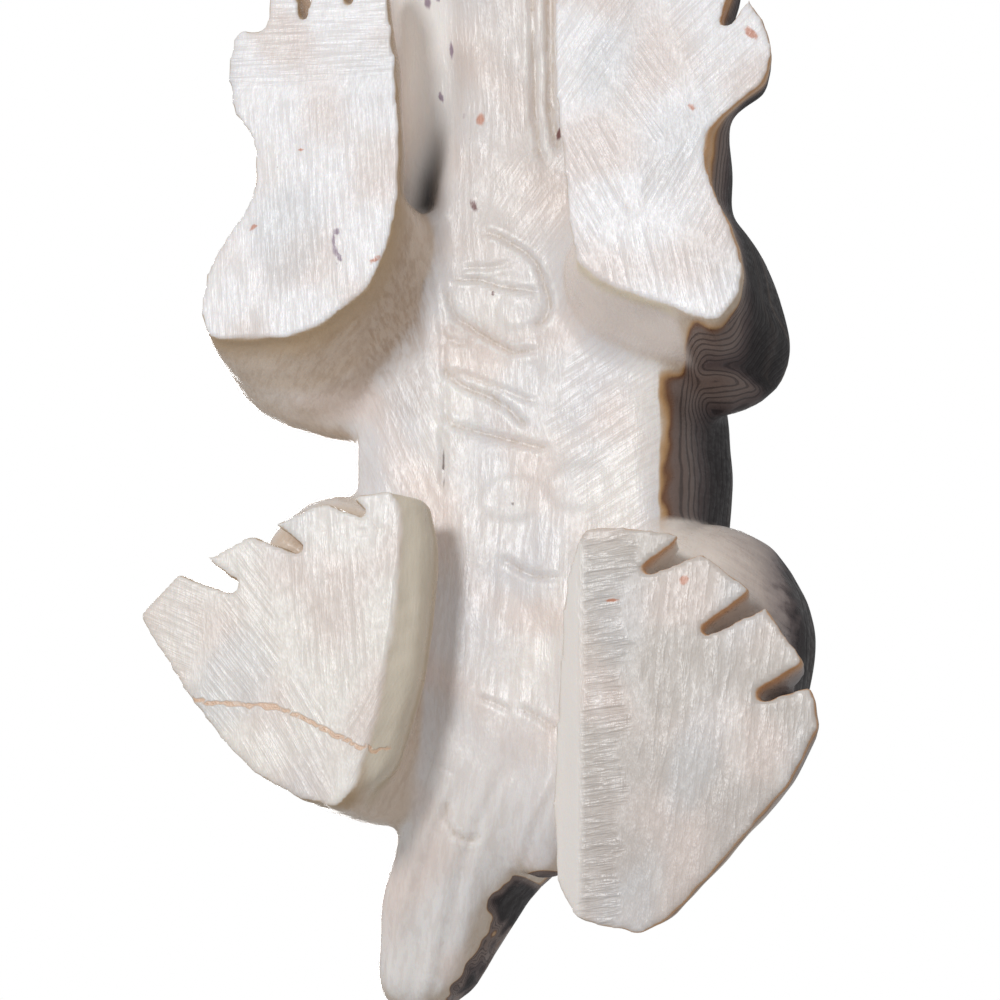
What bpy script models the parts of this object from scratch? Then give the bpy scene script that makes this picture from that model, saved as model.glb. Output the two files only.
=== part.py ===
"""A reptile fetish: one stumpy-tailed lizard, carved whole from one piece of banded stone.

Metres, +Z up. It stands on four flat soles at z = 0, with its head towards -Y and its tail
towards +Y. The origin is at the middle of its box, on the ground.
"""

import math

import bmesh
import bpy
from mathutils import Matrix, Vector

# Driving sizes, in metres
LENGTH = 0.083
FOOT_THICKNESS = 0.0034
TOE_GAP = 0.0012
BELLY_LINE_DEPTH = 0.00035
BELLY_LINE_WIDTH = 0.0009
THROAT_LINE_DEPTH = 0.0006
THROAT_LINE_WIDTH = 0.0011
MOUTH_LINE_WIDTH = 0.0007
MOUTH_LINE_DEPTH = 0.0006
EYE_RADIUS = 0.0021
PUPIL_RADIUS = 0.0008
PUPIL_DEPTH = 0.00045
NOSTRIL_RADIUS = 0.00045

# The pose and the free forms are drawn in 83rds of the length, which are millimetres at the real size.
UNIT = LENGTH / 83

# Where on the drawing the origin is: under the middle of the finished box
ORIGIN = (-1.913, -12.501)

# How finely the stone is worked
CARVING_STEP = 0.42 * UNIT
SOFTENING_PASSES = 4
FINISHED_TRIANGLES = 10600

# Head, body and tail: y, middle x, half width, underside z, widest z, back z, how square the underside is
TRUNK = (
    (-54.0, -1.4, 1.6, 5.6, 7.4, 8.9, 0.2),
    (-53.0, -1.4, 3.3, 4.7, 7.4, 10.3, 0.3),
    (-50.5, -1.4, 5.2, 4.0, 7.8, 12.2, 0.4),
    (-46.5, -1.4, 7.4, 3.6, 8.4, 14.6, 0.45),
    (-42.0, -1.4, 8.9, 3.5, 9.4, 16.2, 0.45),
    (-38.0, -1.4, 9.5, 3.9, 10.4, 16.6, 0.3),
    (-34.0, -1.3, 9.8, 4.6, 11.2, 16.8, 0.2),
    (-28.0, -1.1, 10.2, 5.0, 12.0, 17.8, 0.2),
    (-21.0, -1.0, 10.6, 5.2, 12.8, 19.2, 0.5),
    (-17.0, -1.0, 11.0, 5.2, 13.0, 19.9, 0.75),
    (-12.0, -1.0, 11.4, 5.3, 13.4, 20.6, 0.8),
    (-4.0, -0.9, 12.0, 5.4, 13.6, 21.0, 0.8),
    (4.0, -1.2, 11.4, 5.4, 13.2, 20.6, 0.8),
    (11.0, -2.4, 9.8, 5.5, 12.6, 19.4, 0.7),
    (16.0, -3.0, 6.4, 5.8, 12.4, 18.0, 0.6),
    (19.6, -4.7, 5.2, 6.6, 12.4, 17.0, 0.5),
    (22.5, -6.6, 4.3, 7.8, 12.8, 16.4, 0.45),
    (25.6, -7.9, 3.4, 9.0, 13.0, 15.8, 0.4),
    (27.8, -8.6, 2.7, 10.0, 13.2, 15.4, 0.35),
    (29.0, -9.0, 1.2, 11.6, 13.2, 14.6, 0.2),
)
TRUNK_RINGS_PER_STATION = 3
SECTION_POINTS = 32
DOME_POWER = 0.88
BELLY_TAPER = 0.16

# How far the soles are drawn out to make up for the softening, and how a foot's wall leans in and rounds off
SOLE_ALLOWANCE = 0.15 * UNIT
PAD_LEAN = 0.5 * UNIT
PAD_ROUNDING = 0.9 * UNIT

# Soles, as seen through the ground from below with the head up: x, y, without the gaps between the toes
LEFT_HAND = (
    (-15.3, -36.2), (-15.3, -31.7), (-17.6, -32.1), (-17.9, -29.5), (-17.5, -26.7), (-16.3, -25.1),
    (-15.6, -22.8), (-16.3, -20.3), (-18.0, -18.0), (-19.1, -16.0), (-19.4, -13.7), (-19.0, -11.9),
    (-13.6, -11.6), (-11.6, -12.2), (-8.6, -14.3), (-7.4, -16.8), (-6.7, -20.0), (-6.6, -23.6),
    (-7.0, -29.0), (-7.6, -34.0), (-8.4, -36.2), (-10.4, -37.0), (-13.0, -37.2),
)
RIGHT_HAND = (
    (3.8, -33.6), (3.6, -29.0), (3.6, -26.4), (3.9, -23.1), (4.3, -19.3), (4.5, -16.6), (4.9, -14.7),
    (6.3, -13.4), (9.0, -12.1), (11.6, -10.9), (13.5, -10.1), (14.6, -11.2), (15.1, -13.0), (14.6, -15.2),
    (13.3, -18.2), (12.6, -20.8), (12.8, -22.2), (15.2, -24.0), (16.6, -24.9), (17.1, -26.9),
    (16.6, -28.9), (15.7, -30.2), (14.4, -34.0), (12.6, -35.6), (9.0, -36.2), (5.4, -35.4),
)
LEFT_FOOT = (
    (-23.1, 5.5), (-20.5, 3.1), (-18.5, 2.3), (-15.8, 1.1), (-13.9, 0.4), (-11.4, -0.6), (-9.0, -0.9),
    (-7.0, -1.1), (-6.6, 0.6), (-7.0, 4.6), (-7.5, 8.7), (-8.4, 13.6), (-10.1, 18.2), (-12.5, 17.4),
    (-15.5, 15.6), (-17.7, 13.3), (-19.8, 10.6),
)
RIGHT_FOOT = (
    (5.3, 2.0), (10.6, 2.8), (15.3, 6.7), (18.3, 11.1), (19.1, 14.8), (17.3, 17.9), (13.1, 22.5),
    (10.1, 25.5), (8.4, 26.3), (4.7, 25.4), (3.4, 23.2), (3.2, 18.4), (3.5, 12.6), (4.1, 5.0),
)

# Gaps between toes: x and y at the inner end, x and y beyond the outer end, and the widths there over TOE_GAP
TOE_GAPS = (
    (-13.0, -32.6, -13.0, -38.0, 0.50, 1.50),
    (-10.0, -33.2, -9.8, -38.2, 0.50, 1.30),
    (14.3, -29.1, 15.8, -31.6, 0.58, 1.45),
    (11.2, -31.2, 12.8, -37.6, 0.55, 1.45),
    (7.6, -31.8, 7.4, -37.8, 0.50, 1.40),
    (-17.1, 4.1, -21.3, 1.8, 0.72, 1.65),
    (-12.9, 2.0, -16.3, -0.1, 0.54, 1.55),
    (-8.6, 0.2, -11.4, -1.6, 0.34, 1.35),
    (8.9, 4.9, 12.9, 2.9, 0.55, 1.65),
    (12.6, 8.7, 17.4, 6.3, 0.60, 1.45),
    (15.8, 12.8, 20.1, 11.2, 0.67, 1.50),
)

# Limbs: each mass is the tight skin round some egg shapes, given as centre and radii, and
# round a stretch of sole, if it stands on one, that is carried up to a height
LIMBS = {
    "left_elbow": (
        LEFT_HAND[7:17], 3.0,
        ((-14.5, -13.5, 7.4), (6.1, 6.0, 3.6)),
        ((-12.8, -10.3, 8.2), (3.4, 3.4, 3.4)),
        ((-8.0, -15.5, 12.0), (3.6, 6.6, 5.4)),
    ),
    "left_forearm": (
        (), 0.0,
        ((-13.0, -18.0, 3.4), (4.0, 4.0, 5.4)),
        ((-11.2, -24.0, 1.4), (3.4, 3.4, 4.0)),
        ((-11.8, -29.8, 1.0), (4.0, 3.0, 3.2)),
    ),
    "right_elbow": (
        RIGHT_HAND[6:15], 3.0,
        ((10.0, -14.6, 8.6), (5.1, 4.8, 4.4)),
        ((11.8, -11.2, 9.6), (4.2, 4.1, 3.8)),
        ((4.6, -15.5, 12.0), (4.4, 7.4, 6.0)),
    ),
    "right_forearm": (
        (), 0.0,
        ((9.6, -18.4, 4.0), (4.0, 4.0, 5.4)),
        ((8.6, -23.4, 2.0), (3.9, 3.4, 4.0)),
        ((9.4, -28.4, 1.0), (4.6, 3.2, 3.4)),
    ),
    "left_thigh": (
        (), 0.0,
        ((-12.4, 3.3, 6.8), (5.4, 6.1, 5.2)),
        ((-6.0, 7.6, 11.4), (5.0, 8.6, 6.2)),
    ),
    "left_shank": (
        LEFT_FOOT[6:14], 7.0,
        ((-12.6, 5.0, 3.8), (5.0, 4.4, 4.2)),
        ((-8.8, 14.6, 6.4), (2.2, 3.7, 2.6)),
        ((-14.0, 9.4, 2.3), (5.4, 5.4, 1.7)),
    ),
    "left_bevel": (
        LEFT_FOOT[7:13], 0.2,
        ((-5.7, -0.5, 2.2), (0.6, 0.6, 1.5)),
        ((-5.3, 1.7, 2.2), (0.6, 0.6, 1.5)),
        ((-5.5, 6.5, 2.2), (0.6, 0.6, 1.5)),
        ((-6.0, 10.1, 2.2), (0.6, 0.6, 1.5)),
        ((-6.8, 12.8, 2.2), (0.6, 0.6, 1.5)),
        ((-7.6, 15.5, 2.2), (0.6, 0.6, 1.5)),
    ),
    "right_thigh": (
        (), 0.0,
        ((11.0, 8.3, 8.0), (6.4, 7.9, 6.0)),
        ((3.6, 9.0, 11.4), (5.2, 9.2, 6.4)),
    ),
    "right_shank": (
        RIGHT_FOOT[10:14], 6.0,
        ((11.6, 10.6, 3.6), (5.2, 5.4, 4.4)),
        ((7.0, 19.0, 3.6), (3.2, 4.0, 3.0)),
        ((12.4, 14.6, 2.3), (4.6, 5.6, 1.7)),
    ),
    "right_web": (
        (), 0.0,
        ((0.4, 16.4, 8.4), (2.8, 5.4, 2.8)),
        ((3.6, 12.4, 8.0), (2.4, 6.0, 2.6)),
        ((3.0, 12.0, 12.6), (4.2, 5.6, 4.2)),
    ),
}
LIMB_GRAIN = 3

# Head marks, from the head's middle: an eye's centre, a nostril's bottom, and the mouth's height and corners
EYE = (5.2, -43.6, 13.6)
NOSTRIL = (1.6, -52.4, 8.6)
MOUTH_HEIGHT = 7.0
MOUTH_BACK = -41.5

# Lines cut into the belly and the throat: x and y of the points they run through
BELLY_LINES = (
    ((-2.9, -18.6), (-0.3, -17.5), (1.3, -15.4)),
    ((-5.0, -16.6), (-1.6, -15.6), (0.6, -14.9)),
    ((-5.0, -14.6), (-4.4, -13.2), (-1.6, -11.1), (1.3, -10.7)),
    ((-5.5, -10.2), (-2.9, -8.6), (0.7, -5.6)),
    ((-5.3, -7.5), (-2.9, -6.0), (1.6, -4.4)),
    ((-1.6, 2.0), (0.3, 3.4), (2.2, 3.7)),
    ((-3.0, 10.9), (-1.1, 11.7)),
    ((-0.2, 11.7), (1.8, 13.0)),
)
BELLY_EDGE = ((-5.5, -16.0), (-5.5, -11.4), (-5.3, -6.1), (-5.5, -2.0))
THROAT_LINES = (
    ((0.9, -36.0), (0.9, -29.9), (0.9, -25.9), (1.2, -23.9)),
    ((2.3, -36.0), (2.2, -29.8), (2.1, -26.5), (2.5, -24.4)),
)

# How far cutters reach past what they cut
BELOW_GROUND = 1.6 * UNIT
PAST_EDGE = 1.0 * UNIT
PIT_REACH = 3.0 * UNIT
CUT_CORNERS = 8


def point(x, y, z=0.0):
    return Vector((x - ORIGIN[0], y - ORIGIN[1], z)) * UNIT


def clear_scene():
    for thing in list(bpy.data.objects):
        bpy.data.objects.remove(thing, do_unlink=True)


def add_object(name, mesh):
    thing = bpy.data.objects.new(name, mesh)
    bpy.context.collection.objects.link(thing)
    return thing


def mesh_from(shape):
    """The bmesh as a new mesh, with its faces pointing out."""
    bmesh.ops.recalc_face_normals(shape, faces=shape.faces)
    mesh = bpy.data.meshes.new("shape")
    shape.to_mesh(mesh)
    shape.free()
    return mesh


def loft(rings):
    """A closed skin through rings that all have the same number of points."""
    shape = bmesh.new()
    rows = [[shape.verts.new(place) for place in ring] for ring in rings]
    for low, high in zip(rows, rows[1:]):
        for i in range(len(low)):
            j = (i + 1) % len(low)
            shape.faces.new((low[i], low[j], high[j], high[i]))
    shape.faces.new(rows[0])
    shape.faces.new(rows[-1])
    return mesh_from(shape)


def between(before, start, end, after, share):
    """The Catmull-Rom curve's value at a share of the way from start to end."""
    slope_in = (end - before) / 2
    slope_out = (after - start) / 2
    rise = end - start
    return (
        start
        + slope_in * share
        + (3 * rise - 2 * slope_in - slope_out) * share**2
        + (slope_in + slope_out - 2 * rise) * share**3
    )


def smooth_stations(stations, steps):
    """The stations with steps rings to each gap, on smooth curves through them."""
    rows = []
    for i in range(len(stations) - 1):
        near = [stations[min(max(i + k, 0), len(stations) - 1)] for k in (-1, 0, 1, 2)]
        for step in range(steps):
            rows.append(tuple(between(*values, step / steps) for values in zip(*near)))
    return rows + [stations[-1]]


def trunk_section(y, middle, half_width, belly, widest, back, squareness):
    """One cross-section: a dome over the widest height, and below it an underside that runs from
    round to square and tapers in.
    """
    ring = []
    for i in range(SECTION_POINTS):
        angle = math.tau * i / SECTION_POINTS
        across, up = math.cos(angle), math.sin(angle)
        power = DOME_POWER if up >= 0 else 1 - squareness
        height = abs(up) ** power
        x = half_width * math.copysign(abs(across) ** power, across)
        if up >= 0:
            z = widest + (back - widest) * height
        else:
            z = widest - (widest - belly) * height
            x *= 1 - BELLY_TAPER * squareness * height
        ring.append(point(middle + x, y, z))
    return ring


def make_trunk():
    stations = smooth_stations(TRUNK, TRUNK_RINGS_PER_STATION)
    return loft([trunk_section(*station) for station in stations])


def make_limb(footing, height, *eggs):
    """The tight skin round a few egg shapes and a stretch of sole carried up to a height."""
    shape = bmesh.new()
    for x, y in footing:
        shape.verts.new(point(x, y))
        shape.verts.new(point(x, y, height))
    for centre, radii in eggs:
        place = Matrix.Translation(point(*centre)) @ Matrix.Diagonal((*(r * UNIT for r in radii), 1))
        bmesh.ops.create_icosphere(shape, subdivisions=LIMB_GRAIN, radius=1, matrix=place)
    wrapped = bmesh.ops.convex_hull(shape, input=shape.verts)
    inside = {item for item in wrapped["geom_interior"] + wrapped["geom_unused"]}
    bmesh.ops.delete(
        shape, geom=[item for item in inside if isinstance(item, bmesh.types.BMVert)], context="VERTS"
    )
    return mesh_from(shape)


def inset(outline, by):
    """The outline moved inwards along its corners' bisectors."""
    turn = sum(a.x * b.y - b.x * a.y for a, b in zip(outline, outline[1:] + outline[:1]))
    moved = []
    for i, corner in enumerate(outline):
        along = (outline[(i + 1) % len(outline)] - outline[i - 1]).normalized()
        inward = Vector((-along.y, along.x, 0)) * math.copysign(1, turn)
        moved.append(corner + inward * by)
    return moved


def make_pad(corners):
    """A foot: its sole carried up past the ground, leaning in a little, with a rounded upper edge."""
    sole = inset([point(x, y) for x, y in corners], -SOLE_ALLOWANCE)
    levels = (
        (-BELOW_GROUND, 0.0),
        (0.0, 0.0),
        (FOOT_THICKNESS - PAD_ROUNDING, PAD_LEAN),
        (FOOT_THICKNESS - 0.3 * PAD_ROUNDING, PAD_LEAN + 0.3 * PAD_ROUNDING),
        (FOOT_THICKNESS, PAD_LEAN + PAD_ROUNDING),
    )
    rings = []
    for height, by in levels:
        rings.append([place + Vector((0, 0, height)) for place in inset(sole, by)])
    return loft(rings)


def make_eye(side):
    shape = bmesh.new()
    x, y, z = EYE
    middle = TRUNK[4][1]
    place = Matrix.Translation(point(middle + side * x, y, z))
    bmesh.ops.create_icosphere(shape, subdivisions=3, radius=EYE_RADIUS, matrix=place)
    return mesh_from(shape)


def rough_out():
    """Every mass as one mesh of overlapping closed skins."""
    meshes = [make_trunk()]
    meshes += [make_limb(*limb) for limb in LIMBS.values()]
    meshes += [make_pad(corners) for corners in (LEFT_HAND, RIGHT_HAND, LEFT_FOOT, RIGHT_FOOT)]
    meshes += [make_eye(side) for side in (-1, 1)]
    whole = bmesh.new()
    for mesh in meshes:
        whole.from_mesh(mesh)
        bpy.data.meshes.remove(mesh)
    mesh = bpy.data.meshes.new("reptile_carving")
    whole.to_mesh(mesh)
    whole.free()
    return add_object("reptile_carving", mesh)


def soften(carving):
    """Fuses the masses into one skin and smooths the joins."""
    fuse = carving.modifiers.new("fuse", "REMESH")
    fuse.mode = "VOXEL"
    fuse.voxel_size = CARVING_STEP
    smooth = carving.modifiers.new("smooth", "SMOOTH")
    smooth.factor = 0.5
    smooth.iterations = SOFTENING_PASSES


def thin_out(carving):
    """Leaves about as many triangles as the finished carving is to have."""
    dense = evaluated_mesh(carving)
    count = sum(len(face.vertices) - 2 for face in dense.polygons)
    thin = carving.modifiers.new("thin", "DECIMATE")
    thin.ratio = FINISHED_TRIANGLES / count
    bpy.data.meshes.remove(dense)


def evaluated_mesh(thing):
    graph = bpy.context.evaluated_depsgraph_get()
    return bpy.data.meshes.new_from_object(thing.evaluated_get(graph))


def patch_pinches(shape):
    """Re-covers each spot where thinning left an edge with more or fewer than two faces."""
    torn = {place for edge in shape.edges if len(edge.link_faces) != 2 for place in edge.verts}
    if torn:
        bmesh.ops.delete(shape, geom=list(torn), context="VERTS")
        specks = [place for place in shape.verts if not place.link_faces]
        bmesh.ops.delete(shape, geom=specks, context="VERTS")
        rims = [edge for edge in shape.edges if edge.is_boundary]
        bmesh.ops.holes_fill(shape, edges=rims, sides=0)


def level_soles(mesh):
    """Takes away what is under the ground and closes each sole with one flat face."""
    shape = bmesh.new()
    shape.from_mesh(mesh)
    patch_pinches(shape)
    bmesh.ops.bisect_plane(
        shape,
        geom=shape.verts[:] + shape.edges[:] + shape.faces[:],
        dist=1e-7,
        plane_co=(0, 0, 0),
        plane_no=(0, 0, 1),
        clear_inner=True,
    )
    rims = [edge for edge in shape.edges if edge.is_boundary]
    bmesh.ops.holes_fill(shape, edges=rims, sides=0)
    shape.to_mesh(mesh)
    shape.free()


def toe_gap(x0, y0, x1, y1, inner, outer):
    """An upright slot with a round inner end, wider towards its mouth, through a foot's thickness."""
    start, end = point(x0, y0), point(x1, y1)
    along = (end - start).normalized()
    aside = Vector((-along.y, along.x, 0))
    mouth = aside * TOE_GAP * outer / 2
    half = TOE_GAP * inner / 2
    outline = [end + mouth, end - mouth]
    for i in range(CUT_CORNERS + 1):
        angle = math.pi * i / CUT_CORNERS
        outline.append(start - aside * half * math.cos(angle) - along * half * math.sin(angle))
    heights = (-1.5 * BELOW_GROUND, FOOT_THICKNESS + 0.2 * UNIT)
    return loft([[place + Vector((0, 0, z)) for place in outline] for z in heights])


def underside_height(y):
    """The trunk's underside at y, between the stations either side."""
    for low, high in zip(TRUNK, TRUNK[1:]):
        if low[0] <= y <= high[0]:
            share = (y - low[0]) / (high[0] - low[0])
            return low[3] + share * (high[3] - low[3])
    return TRUNK[-1][3]


def cut_line(places, width, depth):
    """A three-sided cutter for a line in the underside, narrow at its two ends."""
    flat = [point(x, y) for x, y in places]
    rings = []
    for i, place in enumerate(flat):
        along = (flat[min(i + 1, len(flat) - 1)] - flat[max(i - 1, 0)]).normalized()
        aside = Vector((-along.y, along.x, 0)) * width / 2
        skin = place + Vector((0, 0, underside_height(places[i][1]) * UNIT))
        below = skin - Vector((0, 0, PAST_EDGE))
        deep = depth * (0.15 if i in (0, len(flat) - 1) else 1.0)
        reach = (PAST_EDGE + deep) / depth
        rings.append([below + aside * reach, below - aside * reach, skin + Vector((0, 0, deep))])
    return loft(rings)


def mouth_cutter():
    """A thin band round the head at the mouth's height, biting in by the line's depth."""
    outer, inner = [], []
    rows = [row for row in smooth_stations(TRUNK, TRUNK_RINGS_PER_STATION) if row[0] <= MOUTH_BACK]
    for row in rows:
        y, middle, half_width = row[:3]
        outer.append((middle, y, half_width + 2.0))
        inner.append((middle, y, half_width))
    shape = bmesh.new()
    skin = [(m + w, y) for m, y, w in inner][::-1] + [(m - w, y) for m, y, w in inner]
    far = [(m + w, y - 2.0 if i == 0 else y) for i, (m, y, w) in enumerate(outer)][::-1]
    far += [(m - w, y - 2.0 if i == 0 else y) for i, (m, y, w) in enumerate(outer)]
    inward = inset_open([point(x, y) for x, y in skin], MOUTH_LINE_DEPTH)
    outward = [point(x, y) for x, y in far]
    for sign in (-1, 1):
        z = Vector((0, 0, MOUTH_HEIGHT * UNIT + sign * MOUTH_LINE_WIDTH / 2))
        for row in (inward, outward):
            for place in row:
                shape.verts.new(place + z)
    shape.verts.ensure_lookup_table()
    count = len(inward)
    low_in, low_out, high_in, high_out = (
        [shape.verts[k * count + i] for i in range(count)] for k in range(4)
    )
    for i in range(count - 1):
        shape.faces.new((low_in[i], low_in[i + 1], low_out[i + 1], low_out[i]))
        shape.faces.new((high_in[i], high_out[i], high_out[i + 1], high_in[i + 1]))
        shape.faces.new((low_in[i], high_in[i], high_in[i + 1], low_in[i + 1]))
        shape.faces.new((low_out[i], low_out[i + 1], high_out[i + 1], high_out[i]))
    for i in (0, count - 1):
        shape.faces.new((low_in[i], low_out[i], high_out[i], high_in[i]))
    return mesh_from(shape)


def inset_open(line, by):
    """An open line that runs round the head, moved in towards the middle of the head."""
    centre = sum(line, Vector()) / len(line)
    moved = []
    for i, place in enumerate(line):
        along = (line[min(i + 1, len(line) - 1)] - line[max(i - 1, 0)]).normalized()
        inward = Vector((-along.y, along.x, 0))
        if inward.dot(centre - place) < 0:
            inward.negate()
        moved.append(place + inward * by)
    return moved


def drilled_pit(x, y, z, way, radius):
    """A drill with its tip at a point inside the stone, which widens as it comes out along its way."""
    shape = bmesh.new()
    out = Vector(way).normalized()
    turn = out.to_track_quat("Z", "Y").to_matrix().to_4x4()
    bmesh.ops.create_cone(
        shape,
        cap_ends=True,
        segments=10,
        radius1=radius * 0.7,
        radius2=radius * 1.6,
        depth=PIT_REACH,
        matrix=Matrix.Translation(point(x, y, z) + out * PIT_REACH / 2) @ turn,
    )
    return mesh_from(shape)


def head_pits():
    """Pupils on the eyes' outer sides, and two nostrils."""
    middle = TRUNK[4][1]
    pits = []
    for side in (-1, 1):
        x, y, z = EYE
        tip = (EYE_RADIUS - PUPIL_DEPTH) / UNIT
        pits.append(drilled_pit(middle + side * (x + tip), y, z, (side, -0.1, 0.1), PUPIL_RADIUS))
        x, y, z = NOSTRIL
        pits.append(drilled_pit(middle + side * x, y, z, (side * 0.4, -0.7, 0.6), NOSTRIL_RADIUS))
    return pits


def all_cutters():
    """Every line, gap and pit that is cut into the stone."""
    cutters = {"toes": [toe_gap(*gap) for gap in TOE_GAPS]}
    lines = [cut_line(line, BELLY_LINE_WIDTH, BELLY_LINE_DEPTH) for line in BELLY_LINES]
    lines += [cut_line(line, THROAT_LINE_WIDTH, THROAT_LINE_DEPTH) for line in THROAT_LINES]
    cutters["lines"] = lines
    cutters["belly_edge"] = [cut_line(BELLY_EDGE, BELLY_LINE_WIDTH, BELLY_LINE_DEPTH)]
    cutters["mouth"] = [mouth_cutter()]
    cutters["pits"] = head_pits()
    return cutters


def cut(carving, name, meshes):
    """Takes a group of cutters, which don't touch each other, out of the carving."""
    group = bmesh.new()
    for mesh in meshes:
        group.from_mesh(mesh)
        bpy.data.meshes.remove(mesh)
    tool_mesh = bpy.data.meshes.new(name)
    group.to_mesh(tool_mesh)
    group.free()
    tool = add_object("cutter_" + name, tool_mesh)
    tool.hide_render = True
    tool.display_type = "WIRE"
    bite = carving.modifiers.new(name, "BOOLEAN")
    bite.operation = "DIFFERENCE"
    bite.solver = "EXACT"
    bite.object = tool


def stone():
    material = bpy.data.materials.new("banded_stone")
    material.use_nodes = True
    surface = material.node_tree.nodes["Principled BSDF"]
    surface.inputs["Base Color"].default_value = (0.62, 0.54, 0.46, 1)
    surface.inputs["Roughness"].default_value = 0.42
    surface.inputs["Metallic"].default_value = 0.0
    return material


def finish(carving):
    """Bakes the modifiers, levels the soles and does away with the cutters."""
    finished = evaluated_mesh(carving)
    level_soles(finished)
    carving.modifiers.clear()
    carving.data = finished
    for thing in list(bpy.data.objects):
        if thing != carving:
            bpy.data.objects.remove(thing, do_unlink=True)
    finished.shade_smooth()
    finished.set_sharp_from_angle(angle=math.radians(40))


def main():
    clear_scene()
    carving = rough_out()
    soften(carving)
    for name, meshes in all_cutters().items():
        cut(carving, name, meshes)
    thin_out(carving)
    finish(carving)
    carving.data.materials.clear()
    carving.data.materials.append(stone())


main()
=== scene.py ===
"""The reptile fetish, shown from below as in its photograph: its stone, its tool marks and its light.

Lengths are in metres unless a name ends in _MM. The carving is drawn in millimetres on a sheet that
is seen through the ground from below with the head up: x to the right, y towards the tail, z into
the picture. MIDDLE_MM is where the row's origin lies on the sheet.
"""

import math

import bmesh
import bpy
import numpy as np
from mathutils import Matrix, Vector


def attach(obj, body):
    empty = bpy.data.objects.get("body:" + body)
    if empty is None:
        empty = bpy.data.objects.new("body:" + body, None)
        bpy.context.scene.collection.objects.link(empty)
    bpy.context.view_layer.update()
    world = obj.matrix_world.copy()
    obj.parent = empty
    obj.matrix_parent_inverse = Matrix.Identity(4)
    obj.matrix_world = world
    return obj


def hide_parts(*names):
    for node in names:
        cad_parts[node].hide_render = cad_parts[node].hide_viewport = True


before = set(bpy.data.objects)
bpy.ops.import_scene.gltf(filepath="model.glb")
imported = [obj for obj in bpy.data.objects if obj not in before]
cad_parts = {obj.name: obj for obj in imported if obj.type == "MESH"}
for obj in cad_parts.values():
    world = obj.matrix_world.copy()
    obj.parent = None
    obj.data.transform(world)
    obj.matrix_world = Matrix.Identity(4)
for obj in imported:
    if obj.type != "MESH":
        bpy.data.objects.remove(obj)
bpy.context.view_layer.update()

MM = 0.001
MIDDLE_MM = (-1.913, -12.501)

# The camera: how far it stands off to the side and to the tail for each unit below, its distance
# from the sheet's centre, and the width that the picture takes in there
LEAN_X, LEAN_Y = 0.30, 0.27
CAMERA_DISTANCE_MM = 220.0
PICTURE_WIDTH_MM = 60.0
SENSOR_MM = 36

# The lamps: place, width and power. The room's own light comes from every side.
KEY_LAMP = ((-0.105, -0.11, -0.40), 0.11, 0.77)
OVERHEAD_LAMP = ((-0.25, -0.15, 0.55), 0.35, 3.0)
ROOM_LIGHT = 0.42
LAMPS_AIM = (0, 0, 0.008)

# The stone's skin: the width of its grain, how many triangles it gets, its rounding passes on the
# soles' edges and above the soles, and its passes there and back on the worn-down back
GRAIN_MM = 0.25
SKIN_TRIANGLES = 195000
EDGE_PASSES, ROUNDING_PASSES, BACK_PASSES = 2, 9, 45

# The worn-down back starts and is full at these heights, to which its normal's rise adds BACK_TURN
# times. Triangles are joined first above THIN_FROM, where the normal rises past THIN_RISE.
BACK_START, BACK_FULL, BACK_TURN = 8.0, 11.0, 2.0
THIN_FROM, THIN_RISE, THIN_FACTOR = 3.0, 0.25, 50

# Strokes cut across the belly: depth, half width, and the points that they run through
BELLY_STROKES = (
    (0.12, 0.20, ((-2.9, -18.9), (-1.6, -18.5), (-0.6, -17.8), (0.2, -17.2), (0.8, -16.5), (1.1, -15.7))),
    (0.14, 0.24, ((0.8, -16.5), (1.1, -15.7), (1.5, -14.4), (1.6, -13.7), (1.3, -12.9), (0.5, -12.3))),
    (0.09, 0.18, ((-4.7, -16.4), (-3.6, -16.6), (-2.1, -16.5), (-0.6, -16.7))),
    (0.12, 0.20, ((-5.0, -16.2), (-4.1, -15.9), (-2.9, -15.8), (-1.6, -15.2), (-0.3, -14.9), (1.1, -14.6))),
    (0.14, 0.20, (
        (-5.0, -15.6), (-4.9, -14.4), (-4.5, -13.5), (-3.2, -12.5), (-1.9, -11.6), (-0.8, -10.9),
        (1.2, -10.8),
    )),
    (0.10, 0.16, ((-5.6, -13.0), (-5.1, -12.2), (-4.3, -11.7), (-3.5, -11.8), (-3.3, -12.4))),
    (0.16, 0.22, (
        (-5.4, -10.6), (-5.1, -9.8), (-3.9, -8.9), (-2.2, -8.1), (-1.1, -7.3), (-0.4, -6.5), (0.3, -5.9),
    )),
    (0.10, 0.18, ((-5.0, -10.1), (-3.5, -9.5), (-1.6, -8.6), (0.0, -7.8), (1.1, -7.5))),
    (0.12, 0.22, ((-5.5, -7.5), (-4.7, -6.5), (-2.9, -5.9), (-0.6, -5.1), (1.7, -4.4))),
    (0.10, 0.20, ((-1.6, 2.1), (-0.6, 2.9), (0.5, 3.5), (2.4, 3.8))),
    (0.10, 0.16, ((-3.0, 10.8), (-2.0, 11.2), (-1.0, 11.8))),
    (0.12, 0.18, ((-0.5, 11.6), (0.6, 12.1), (1.9, 13.1))),
    (0.12, 0.20, ((-5.1, 16.8), (-5.4, 18.0), (-4.8, 19.0), (-3.9, 19.4), (-3.0, 19.0))),
    (0.06, 0.12, ((-7.2, 13.5), (-6.5, 13.9), (-5.9, 14.7), (-5.2, 15.0), (-4.4, 15.6))),
)
THROAT_GROOVES = (
    (0.14, 0.22, ((0.75, -38.0), (0.7, -29.9), (0.75, -25.9), (1.0, -23.9), (1.7, -22.4))),
    (0.20, 0.30, ((1.9, -38.0), (1.75, -29.8), (1.7, -26.5), (2.1, -24.4), (2.6, -23.4))),
)

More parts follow.
